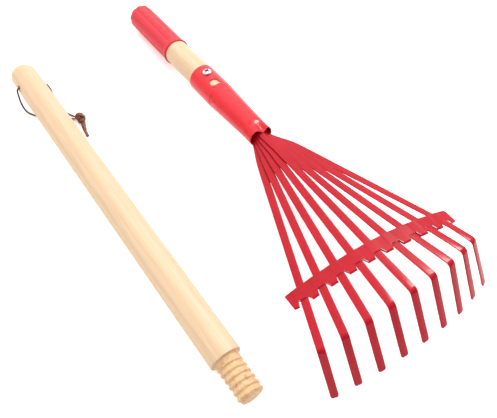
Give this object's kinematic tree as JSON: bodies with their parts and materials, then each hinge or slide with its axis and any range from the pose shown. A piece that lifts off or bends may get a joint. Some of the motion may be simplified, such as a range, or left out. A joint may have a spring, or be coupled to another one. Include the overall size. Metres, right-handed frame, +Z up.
{
  "type": "hand rake",
  "caption": "Small hand rake with flat sprung tines and a folded brace, on a wooden grip with a threaded sleeve, beside its unscrewed wooden extension pole.",
  "frame": {"origin": "middle of the floor area that the rake and its pole cover, at floor level", "axes": "+X from the sleeve to the tine tips, +Y to the rake's left, away from the pole, +Z up"},
  "size_m": [0.3964, 0.2165, 0.0518],
  "materials": {
    "red_enamel": "glossy baked enamel",
    "red_plastic": "satin moulded plastic",
    "pale_wood": "pale, thinly lacquered",
    "screw_steel": "bright zinc plating",
    "leather": "worn"
  },
  "bodies": {
    "rake_head": {"tine_1": "red_enamel", "tine_2": "red_enamel", "tine_3": "red_enamel", "tine_4": "red_enamel", "tine_5": "red_enamel", "tine_6": "red_enamel", "tine_7": "red_enamel", "tine_8": "red_enamel", "tine_9": "red_enamel", "spreader_brace": "red_enamel", "ferrule": "red_enamel", "ferrule_screw": "screw_steel", "short_handle": "pale_wood", "threaded_sleeve": "red_plastic"},
    "loose_pole": {"extension_pole": "pale_wood", "hang_lace": "leather", "lace_knot": "leather"}
  },
  "joints": [
    {"name": "pole_carry", "type": "slide", "parent": "rake_head", "child": "loose_pole", "axis": [-0.9719, 0.2352, 0], "range_m": [0, 0.488]}
  ]
}
